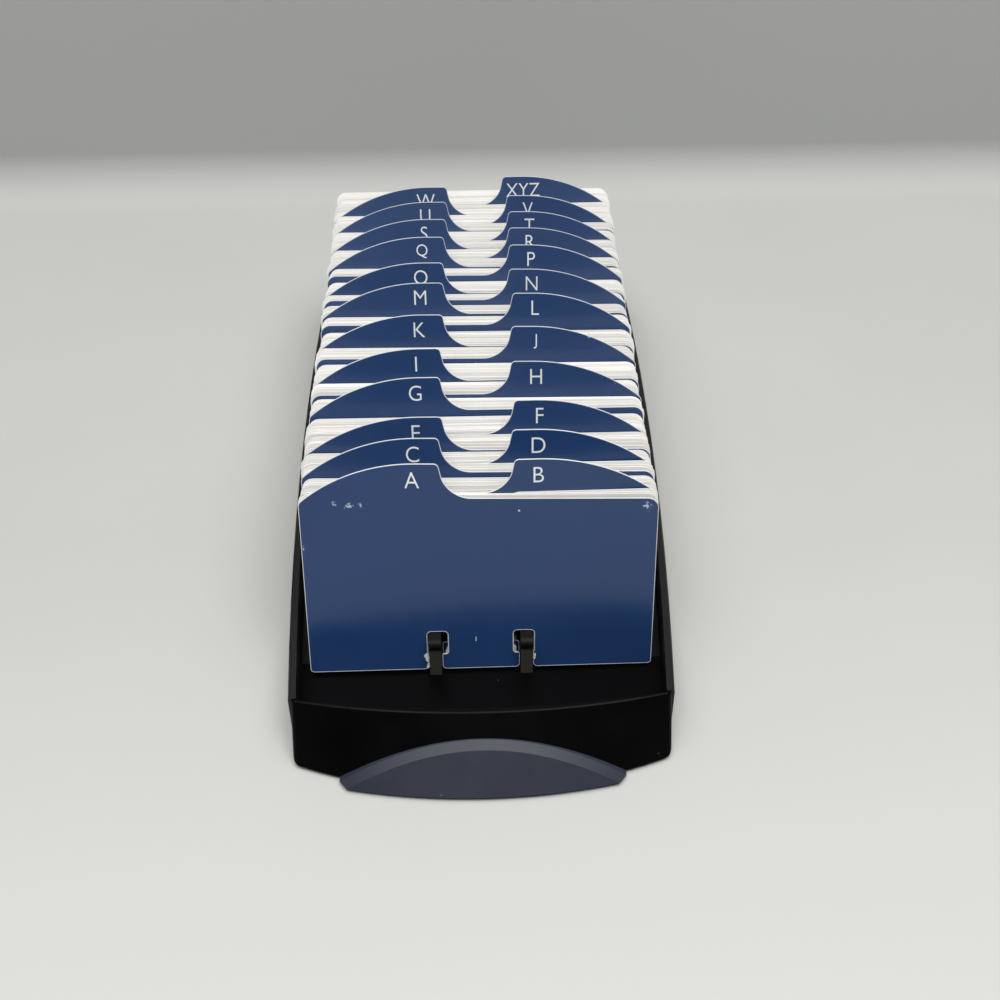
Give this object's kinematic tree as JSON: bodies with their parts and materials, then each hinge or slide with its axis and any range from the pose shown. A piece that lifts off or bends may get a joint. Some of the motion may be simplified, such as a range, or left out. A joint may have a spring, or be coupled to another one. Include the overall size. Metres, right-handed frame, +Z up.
{
  "type": "desktop card file",
  "caption": "Open desktop tray card file: lettered dividers and packs of plain cards hang on two rails, lean back on a rest and tip forward like a fan.",
  "frame": {"origin": "centre of the footprint, on the table", "axes": "+X to the reader's right, +Y back along the rails, away from the badge, +Z up"},
  "size_m": [0.121, 0.25, 0.0726],
  "materials": {
    "tray_black": "satin",
    "badge_grey": "satin",
    "rail_grey": "satin",
    "rubber": "matte",
    "divider_navy": "gloss",
    "card_white": "matte"
  },
  "bodies": {
    "tray": {"tray_base": "tray_black", "front_bezel": "tray_black", "front_badge": "badge_grey", "left_rail": "rail_grey", "right_rail": "rail_grey", "back_rest": "tray_black", "rubber_feet": "rubber"},
    "divider_A": {"divider_A": "divider_navy"},
    "cards_A": {"cards_A": "card_white"},
    "divider_B": {"divider_B": "divider_navy"},
    "cards_B": {"cards_B": "card_white"},
    "divider_C": {"divider_C": "divider_navy"},
    "cards_C": {"cards_C": "card_white"},
    "divider_D": {"divider_D": "divider_navy"},
    "cards_D": {"cards_D": "card_white"},
    "divider_E": {"divider_E": "divider_navy"},
    "cards_E": {"cards_E": "card_white"},
    "divider_F": {"divider_F": "divider_navy"},
    "cards_F": {"cards_F": "card_white"},
    "divider_G": {"divider_G": "divider_navy"},
    "cards_G": {"cards_G": "card_white"},
    "divider_H": {"divider_H": "divider_navy"},
    "cards_H": {"cards_H": "card_white"},
    "divider_I": {"divider_I": "divider_navy"},
    "cards_I": {"cards_I": "card_white"},
    "divider_J": {"divider_J": "divider_navy"},
    "cards_J": {"cards_J": "card_white"},
    "divider_K": {"divider_K": "divider_navy"},
    "cards_K": {"cards_K": "card_white"},
    "divider_L": {"divider_L": "divider_navy"},
    "cards_L": {"cards_L": "card_white"},
    "divider_M": {"divider_M": "divider_navy"},
    "cards_M": {"cards_M": "card_white"},
    "divider_N": {"divider_N": "divider_navy"},
    "cards_N": {"cards_N": "card_white"},
    "divider_O": {"divider_O": "divider_navy"},
    "cards_O": {"cards_O": "card_white"},
    "divider_P": {"divider_P": "divider_navy"},
    "cards_P": {"cards_P": "card_white"},
    "divider_Q": {"divider_Q": "divider_navy"},
    "cards_Q": {"cards_Q": "card_white"},
    "divider_R": {"divider_R": "divider_navy"},
    "cards_R": {"cards_R": "card_white"},
    "divider_S": {"divider_S": "divider_navy"},
    "cards_S": {"cards_S": "card_white"},
    "divider_T": {"divider_T": "divider_navy"},
    "cards_T": {"cards_T": "card_white"},
    "divider_U": {"divider_U": "divider_navy"},
    "cards_U": {"cards_U": "card_white"},
    "divider_V": {"divider_V": "divider_navy"},
    "cards_V": {"cards_V": "card_white"},
    "divider_W": {"divider_W": "divider_navy"},
    "cards_W": {"cards_W": "card_white"},
    "divider_XYZ": {"divider_XYZ": "divider_navy"},
    "cards_XYZ": {"cards_XYZ": "card_white"}
  },
  "joints": [
    {"name": "divider_A_tilt", "type": "hinge", "parent": "tray", "child": "divider_A", "pos_m": [0, -0.07881, 0.01984], "axis": [1, 0, 0], "range_deg": [0, 70]},
    {"name": "cards_A_tilt", "type": "hinge", "parent": "tray", "child": "cards_A", "pos_m": [0, -0.07731, 0.01984], "axis": [1, 0, 0], "range_deg": [0, 69.43]},
    {"name": "divider_B_tilt", "type": "hinge", "parent": "tray", "child": "divider_B", "pos_m": [0, -0.07452, 0.01984], "axis": [1, 0, 0], "range_deg": [0, 68.35]},
    {"name": "cards_B_tilt", "type": "hinge", "parent": "tray", "child": "cards_B", "pos_m": [0, -0.07302, 0.01984], "axis": [1, 0, 0], "range_deg": [0, 67.76]},
    {"name": "divider_C_tilt", "type": "hinge", "parent": "tray", "child": "divider_C", "pos_m": [0, -0.06744, 0.01984], "axis": [1, 0, 0], "range_deg": [0, 65.61]},
    {"name": "cards_C_tilt", "type": "hinge", "parent": "tray", "child": "cards_C", "pos_m": [0, -0.06594, 0.01984], "axis": [1, 0, 0], "range_deg": [0, 65.03]},
    {"name": "divider_D_tilt", "type": "hinge", "parent": "tray", "child": "divider_D", "pos_m": [0, -0.06315, 0.01984], "axis": [1, 0, 0], "range_deg": [0, 63.94]},
    {"name": "cards_D_tilt", "type": "hinge", "parent": "tray", "child": "cards_D", "pos_m": [0, -0.06165, 0.01984], "axis": [1, 0, 0], "range_deg": [0, 63.36]},
    {"name": "divider_E_tilt", "type": "hinge", "parent": "tray", "child": "divider_E", "pos_m": [0, -0.057, 0.01984], "axis": [1, 0, 0], "range_deg": [0, 61.56]},
    {"name": "cards_E_tilt", "type": "hinge", "parent": "tray", "child": "cards_E", "pos_m": [0, -0.0555, 0.01984], "axis": [1, 0, 0], "range_deg": [0, 60.98]},
    {"name": "divider_F_tilt", "type": "hinge", "parent": "tray", "child": "divider_F", "pos_m": [0, -0.04992, 0.01984], "axis": [1, 0, 0], "range_deg": [0, 58.82]},
    {"name": "cards_F_tilt", "type": "hinge", "parent": "tray", "child": "cards_F", "pos_m": [0, -0.04842, 0.01984], "axis": [1, 0, 0], "range_deg": [0, 58.24]},
    {"name": "divider_G_tilt", "type": "hinge", "parent": "tray", "child": "divider_G", "pos_m": [0, -0.03819, 0.01984], "axis": [1, 0, 0], "range_deg": [0, 54.27]},
    {"name": "cards_G_tilt", "type": "hinge", "parent": "tray", "child": "cards_G", "pos_m": [0, -0.03669, 0.01984], "axis": [1, 0, 0], "range_deg": [0, 53.69]},
    {"name": "divider_H_tilt", "type": "hinge", "parent": "tray", "child": "divider_H", "pos_m": [0, -0.03018, 0.01984], "axis": [1, 0, 0], "range_deg": [0, 51.17]},
    {"name": "cards_H_tilt", "type": "hinge", "parent": "tray", "child": "cards_H", "pos_m": [0, -0.02868, 0.01984], "axis": [1, 0, 0], "range_deg": [0, 50.59]},
    {"name": "divider_I_tilt", "type": "hinge", "parent": "tray", "child": "divider_I", "pos_m": [0, -0.0231, 0.01984], "axis": [1, 0, 0], "range_deg": [0, 48.42]},
    {"name": "cards_I_tilt", "type": "hinge", "parent": "tray", "child": "cards_I", "pos_m": [0, -0.0216, 0.01984], "axis": [1, 0, 0], "range_deg": [0, 47.84]},
    {"name": "divider_J_tilt", "type": "hinge", "parent": "tray", "child": "divider_J", "pos_m": [0, -0.01137, 0.01984], "axis": [1, 0, 0], "range_deg": [0, 43.88]},
    {"name": "cards_J_tilt", "type": "hinge", "parent": "tray", "child": "cards_J", "pos_m": [0, -0.00987, 0.01984], "axis": [1, 0, 0], "range_deg": [0, 43.3]},
    {"name": "divider_K_tilt", "type": "hinge", "parent": "tray", "child": "divider_K", "pos_m": [0, -0.00429, 0.01984], "axis": [1, 0, 0], "range_deg": [0, 41.13]},
    {"name": "cards_K_tilt", "type": "hinge", "parent": "tray", "child": "cards_K", "pos_m": [0, -0.00279, 0.01984], "axis": [1, 0, 0], "range_deg": [0, 40.55]},
    {"name": "divider_L_tilt", "type": "hinge", "parent": "tray", "child": "divider_L", "pos_m": [0, 0.00744, 0.01984], "axis": [1, 0, 0], "range_deg": [0, 36.59]},
    {"name": "cards_L_tilt", "type": "hinge", "parent": "tray", "child": "cards_L", "pos_m": [0, 0.00894, 0.01984], "axis": [1, 0, 0], "range_deg": [0, 36.01]},
    {"name": "divider_M_tilt", "type": "hinge", "parent": "tray", "child": "divider_M", "pos_m": [0, 0.01452, 0.01984], "axis": [1, 0, 0], "range_deg": [0, 33.85]},
    {"name": "cards_M_tilt", "type": "hinge", "parent": "tray", "child": "cards_M", "pos_m": [0, 0.01602, 0.01984], "axis": [1, 0, 0], "range_deg": [0, 33.27]},
    {"name": "divider_N_tilt", "type": "hinge", "parent": "tray", "child": "divider_N", "pos_m": [0, 0.02253, 0.01984], "axis": [1, 0, 0], "range_deg": [0, 30.74]},
    {"name": "cards_N_tilt", "type": "hinge", "parent": "tray", "child": "cards_N", "pos_m": [0, 0.02403, 0.01984], "axis": [1, 0, 0], "range_deg": [0, 30.16]},
    {"name": "divider_O_tilt", "type": "hinge", "parent": "tray", "child": "divider_O", "pos_m": [0, 0.02682, 0.01984], "axis": [1, 0, 0], "range_deg": [0, 29.08]},
    {"name": "cards_O_tilt", "type": "hinge", "parent": "tray", "child": "cards_O", "pos_m": [0, 0.02832, 0.01984], "axis": [1, 0, 0], "range_deg": [0, 28.5]},
    {"name": "divider_P_tilt", "type": "hinge", "parent": "tray", "child": "divider_P", "pos_m": [0, 0.03762, 0.01984], "axis": [1, 0, 0], "range_deg": [0, 24.89]},
    {"name": "cards_P_tilt", "type": "hinge", "parent": "tray", "child": "cards_P", "pos_m": [0, 0.03912, 0.01984], "axis": [1, 0, 0], "range_deg": [0, 24.31]},
    {"name": "divider_Q_tilt", "type": "hinge", "parent": "tray", "child": "divider_Q", "pos_m": [0, 0.04377, 0.01984], "axis": [1, 0, 0], "range_deg": [0, 22.52]},
    {"name": "cards_Q_tilt", "type": "hinge", "parent": "tray", "child": "cards_Q", "pos_m": [0, 0.04527, 0.01984], "axis": [1, 0, 0], "range_deg": [0, 21.93]},
    {"name": "divider_R_tilt", "type": "hinge", "parent": "tray", "child": "divider_R", "pos_m": [0, 0.04899, 0.01984], "axis": [1, 0, 0], "range_deg": [0, 20.49]},
    {"name": "cards_R_tilt", "type": "hinge", "parent": "tray", "child": "cards_R", "pos_m": [0, 0.05049, 0.01984], "axis": [1, 0, 0], "range_deg": [0, 19.91]},
    {"name": "divider_S_tilt", "type": "hinge", "parent": "tray", "child": "divider_S", "pos_m": [0, 0.05514, 0.01984], "axis": [1, 0, 0], "range_deg": [0, 18.11]},
    {"name": "cards_S_tilt", "type": "hinge", "parent": "tray", "child": "cards_S", "pos_m": [0, 0.05664, 0.01984], "axis": [1, 0, 0], "range_deg": [0, 17.52]},
    {"name": "divider_T_tilt", "type": "hinge", "parent": "tray", "child": "divider_T", "pos_m": [0, 0.06036, 0.01984], "axis": [1, 0, 0], "range_deg": [0, 16.08]},
    {"name": "cards_T_tilt", "type": "hinge", "parent": "tray", "child": "cards_T", "pos_m": [0, 0.06186, 0.01984], "axis": [1, 0, 0], "range_deg": [0, 15.5]},
    {"name": "divider_U_tilt", "type": "hinge", "parent": "tray", "child": "divider_U", "pos_m": [0, 0.06744, 0.01984], "axis": [1, 0, 0], "range_deg": [0, 13.34]},
    {"name": "cards_U_tilt", "type": "hinge", "parent": "tray", "child": "cards_U", "pos_m": [0, 0.06894, 0.01984], "axis": [1, 0, 0], "range_deg": [0, 12.76]},
    {"name": "divider_V_tilt", "type": "hinge", "parent": "tray", "child": "divider_V", "pos_m": [0, 0.07173, 0.01984], "axis": [1, 0, 0], "range_deg": [0, 11.68]},
    {"name": "cards_V_tilt", "type": "hinge", "parent": "tray", "child": "cards_V", "pos_m": [0, 0.07323, 0.01984], "axis": [1, 0, 0], "range_deg": [0, 11.1]},
    {"name": "divider_W_tilt", "type": "hinge", "parent": "tray", "child": "divider_W", "pos_m": [0, 0.07881, 0.01984], "axis": [1, 0, 0], "range_deg": [0, 8.94]},
    {"name": "cards_W_tilt", "type": "hinge", "parent": "tray", "child": "cards_W", "pos_m": [0, 0.08031, 0.01984], "axis": [1, 0, 0], "range_deg": [0, 8.35]},
    {"name": "divider_XYZ_tilt", "type": "hinge", "parent": "tray", "child": "divider_XYZ", "pos_m": [0, 0.08589, 0.01984], "axis": [1, 0, 0], "range_deg": [0, 6.19]},
    {"name": "cards_XYZ_tilt", "type": "hinge", "parent": "tray", "child": "cards_XYZ", "pos_m": [0, 0.08739, 0.01984], "axis": [1, 0, 0], "range_deg": [0, 5.61]}
  ],
  "couplings": [
    {"joint": "cards_A_tilt", "follows": "divider_A_tilt", "ratio": 0.9917},
    {"joint": "divider_B_tilt", "follows": "divider_A_tilt", "ratio": 0.9763},
    {"joint": "cards_B_tilt", "follows": "divider_A_tilt", "ratio": 0.9679},
    {"joint": "divider_C_tilt", "follows": "divider_A_tilt", "ratio": 0.9371},
    {"joint": "cards_C_tilt", "follows": "divider_A_tilt", "ratio": 0.9288},
    {"joint": "divider_D_tilt", "follows": "divider_A_tilt", "ratio": 0.9133},
    {"joint": "cards_D_tilt", "follows": "divider_A_tilt", "ratio": 0.905},
    {"joint": "divider_E_tilt", "follows": "divider_A_tilt", "ratio": 0.8793},
    {"joint": "cards_E_tilt", "follows": "divider_A_tilt", "ratio": 0.871},
    {"joint": "divider_F_tilt", "follows": "divider_A_tilt", "ratio": 0.8401},
    {"joint": "cards_F_tilt", "follows": "divider_A_tilt", "ratio": 0.8318},
    {"joint": "divider_G_tilt", "follows": "divider_A_tilt", "ratio": 0.7751},
    {"joint": "cards_G_tilt", "follows": "divider_A_tilt", "ratio": 0.7668},
    {"joint": "divider_H_tilt", "follows": "divider_A_tilt", "ratio": 0.7308},
    {"joint": "cards_H_tilt", "follows": "divider_A_tilt", "ratio": 0.7225},
    {"joint": "divider_I_tilt", "follows": "divider_A_tilt", "ratio": 0.6916},
    {"joint": "cards_I_tilt", "follows": "divider_A_tilt", "ratio": 0.6833},
    {"joint": "divider_J_tilt", "follows": "divider_A_tilt", "ratio": 0.6267},
    {"joint": "cards_J_tilt", "follows": "divider_A_tilt", "ratio": 0.6184},
    {"joint": "divider_K_tilt", "follows": "divider_A_tilt", "ratio": 0.5875},
    {"joint": "cards_K_tilt", "follows": "divider_A_tilt", "ratio": 0.5792},
    {"joint": "divider_L_tilt", "follows": "divider_A_tilt", "ratio": 0.5226},
    {"joint": "cards_L_tilt", "follows": "divider_A_tilt", "ratio": 0.5143},
    {"joint": "divider_M_tilt", "follows": "divider_A_tilt", "ratio": 0.4834},
    {"joint": "cards_M_tilt", "follows": "divider_A_tilt", "ratio": 0.4751},
    {"joint": "divider_N_tilt", "follows": "divider_A_tilt", "ratio": 0.439},
    {"joint": "cards_N_tilt", "follows": "divider_A_tilt", "ratio": 0.4307},
    {"joint": "divider_O_tilt", "follows": "divider_A_tilt", "ratio": 0.4153},
    {"joint": "cards_O_tilt", "follows": "divider_A_tilt", "ratio": 0.407},
    {"joint": "divider_P_tilt", "follows": "divider_A_tilt", "ratio": 0.3555},
    {"joint": "cards_P_tilt", "follows": "divider_A_tilt", "ratio": 0.3472},
    {"joint": "divider_Q_tilt", "follows": "divider_A_tilt", "ratio": 0.3215},
    {"joint": "cards_Q_tilt", "follows": "divider_A_tilt", "ratio": 0.3132},
    {"joint": "divider_R_tilt", "follows": "divider_A_tilt", "ratio": 0.2926},
    {"joint": "cards_R_tilt", "follows": "divider_A_tilt", "ratio": 0.2843},
    {"joint": "divider_S_tilt", "follows": "divider_A_tilt", "ratio": 0.2585},
    {"joint": "cards_S_tilt", "follows": "divider_A_tilt", "ratio": 0.2502},
    {"joint": "divider_T_tilt", "follows": "divider_A_tilt", "ratio": 0.2296},
    {"joint": "cards_T_tilt", "follows": "divider_A_tilt", "ratio": 0.2213},
    {"joint": "divider_U_tilt", "follows": "divider_A_tilt", "ratio": 0.1904},
    {"joint": "cards_U_tilt", "follows": "divider_A_tilt", "ratio": 0.1821},
    {"joint": "divider_V_tilt", "follows": "divider_A_tilt", "ratio": 0.1667},
    {"joint": "cards_V_tilt", "follows": "divider_A_tilt", "ratio": 0.1584},
    {"joint": "divider_W_tilt", "follows": "divider_A_tilt", "ratio": 0.1275},
    {"joint": "cards_W_tilt", "follows": "divider_A_tilt", "ratio": 0.1192},
    {"joint": "divider_XYZ_tilt", "follows": "divider_A_tilt", "ratio": 0.0883},
    {"joint": "cards_XYZ_tilt", "follows": "divider_A_tilt", "ratio": 0.08}
  ]
}
